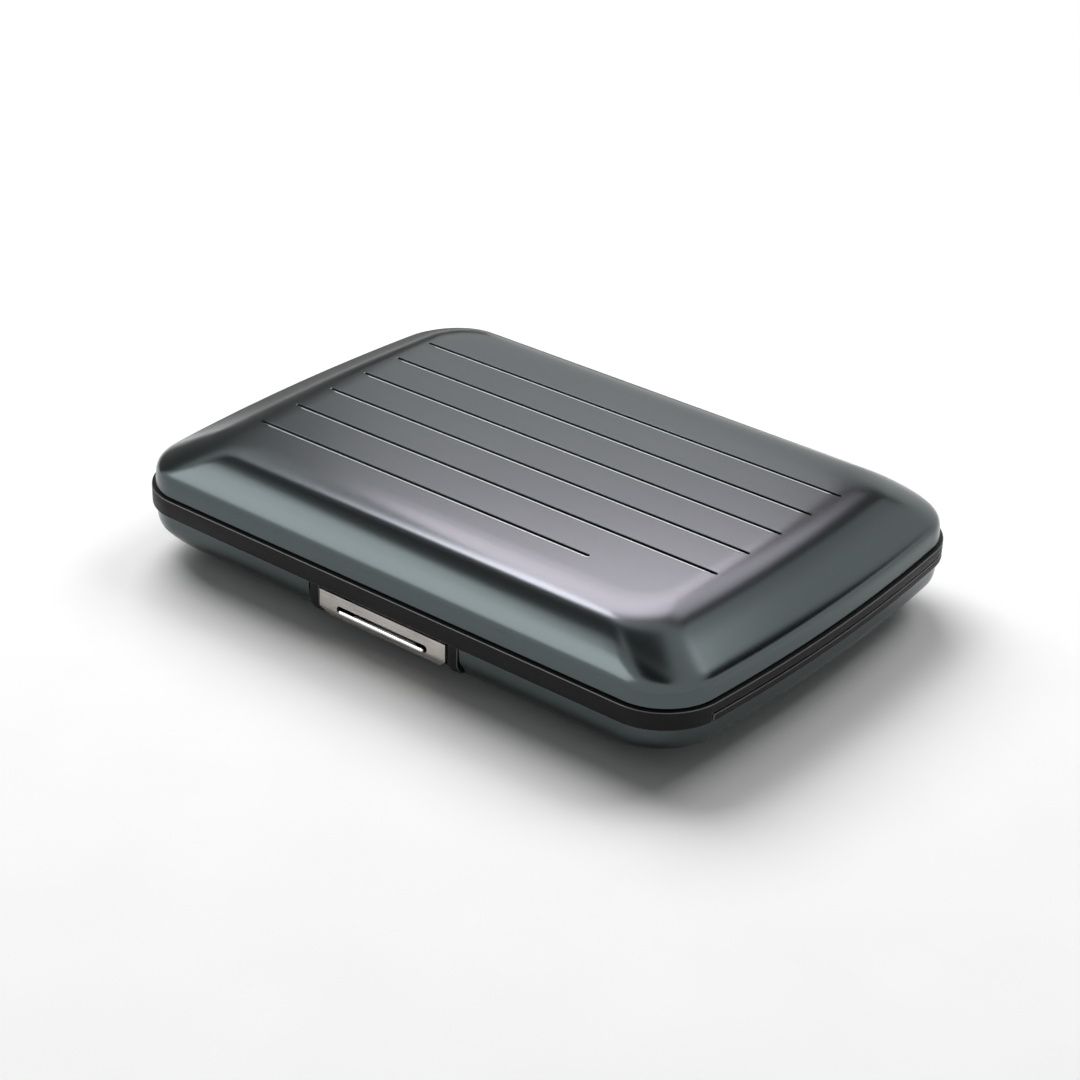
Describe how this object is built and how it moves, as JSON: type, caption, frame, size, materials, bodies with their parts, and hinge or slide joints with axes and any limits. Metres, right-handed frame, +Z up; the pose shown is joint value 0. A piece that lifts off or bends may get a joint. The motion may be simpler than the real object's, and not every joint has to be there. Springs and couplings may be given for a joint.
{
  "type": "aluminium wallet",
  "caption": "Hard aluminium card wallet with black hinged frames, a steel press latch at the front and a pleated card file inside that fans out with the lid.",
  "frame": {"origin": "centre of the surface that the closed wallet lies on", "axes": "+X along the long side, -Y to the latch, +Y to the hinge, +Z up to the lid"},
  "size_m": [0.1086, 0.075, 0.02],
  "materials": {
    "anodised_aluminium": "dark green-grey satin anodised",
    "black_plastic": "fine satin moulding",
    "brushed_steel": "brushed along its length",
    "bellows_fabric": "black coated weave",
    "leaf_board": "fine grained sheet",
    "pad_foam": "dense mounting foam"
  },
  "bodies": {
    "base": {"lower_shell": "anodised_aluminium", "lower_frame": "black_plastic", "lower_pad": "pad_foam", "lower_panel": "leaf_board", "left_bellows": "bellows_fabric", "right_bellows": "bellows_fabric", "back_bellows": "bellows_fabric", "left_hinge_pin": "brushed_steel", "right_hinge_pin": "brushed_steel", "latch_pivot_pin": "brushed_steel", "latch_spring": "brushed_steel"},
    "lid": {"upper_shell": "anodised_aluminium", "upper_frame": "black_plastic", "upper_pad": "pad_foam", "upper_panel": "leaf_board"},
    "latch": {"latch_plate": "brushed_steel", "latch_lever": "black_plastic", "latch_catch": "brushed_steel"},
    "leaf_1": {"divider_leaf_1": "leaf_board"},
    "leaf_2": {"divider_leaf_2": "leaf_board"},
    "leaf_3": {"divider_leaf_3": "leaf_board"},
    "leaf_4": {"divider_leaf_4": "leaf_board"},
    "leaf_5": {"divider_leaf_5": "leaf_board"},
    "leaf_6": {"divider_leaf_6": "leaf_board"}
  },
  "joints": [
    {"name": "lid_hinge", "type": "hinge", "parent": "base", "child": "lid", "pos_m": [0, 0.0359, 0.01025], "axis": [-1, 0, 0], "range_deg": [0, 45], "deforming": ["left_bellows", "right_bellows", "back_bellows", "latch_catch"]},
    {"name": "leaf_1_hinge", "type": "hinge", "parent": "base", "child": "leaf_1", "pos_m": [0, 0.0359, 0.01025], "axis": [-1, 0, 0], "range_deg": [0, 6.5]},
    {"name": "leaf_2_hinge", "type": "hinge", "parent": "base", "child": "leaf_2", "pos_m": [0, 0.0359, 0.01025], "axis": [-1, 0, 0], "range_deg": [0, 13]},
    {"name": "leaf_3_hinge", "type": "hinge", "parent": "base", "child": "leaf_3", "pos_m": [0, 0.0359, 0.01025], "axis": [-1, 0, 0], "range_deg": [0, 19.4]},
    {"name": "leaf_4_hinge", "type": "hinge", "parent": "base", "child": "leaf_4", "pos_m": [0, 0.0359, 0.01025], "axis": [-1, 0, 0], "range_deg": [0, 25.8]},
    {"name": "leaf_5_hinge", "type": "hinge", "parent": "base", "child": "leaf_5", "pos_m": [0, 0.0359, 0.01025], "axis": [-1, 0, 0], "range_deg": [0, 32.2]},
    {"name": "leaf_6_hinge", "type": "hinge", "parent": "base", "child": "leaf_6", "pos_m": [0, 0.0359, 0.01025], "axis": [-1, 0, 0], "range_deg": [0, 38.7]},
    {"name": "latch_press", "type": "hinge", "parent": "base", "child": "latch", "pos_m": [0, -0.0347, 0.0076], "axis": [1, 0, 0], "range_deg": [0, 10], "stiffness_Nm_per_rad": 0.03, "deforming": ["latch_spring"]}
  ],
  "couplings": [
    {"joint": "leaf_1_hinge", "follows": "lid_hinge", "ratio": 0.14286},
    {"joint": "leaf_2_hinge", "follows": "lid_hinge", "ratio": 0.28571},
    {"joint": "leaf_3_hinge", "follows": "lid_hinge", "ratio": 0.42857},
    {"joint": "leaf_4_hinge", "follows": "lid_hinge", "ratio": 0.57143},
    {"joint": "leaf_5_hinge", "follows": "lid_hinge", "ratio": 0.71429},
    {"joint": "leaf_6_hinge", "follows": "lid_hinge", "ratio": 0.85714}
  ]
}
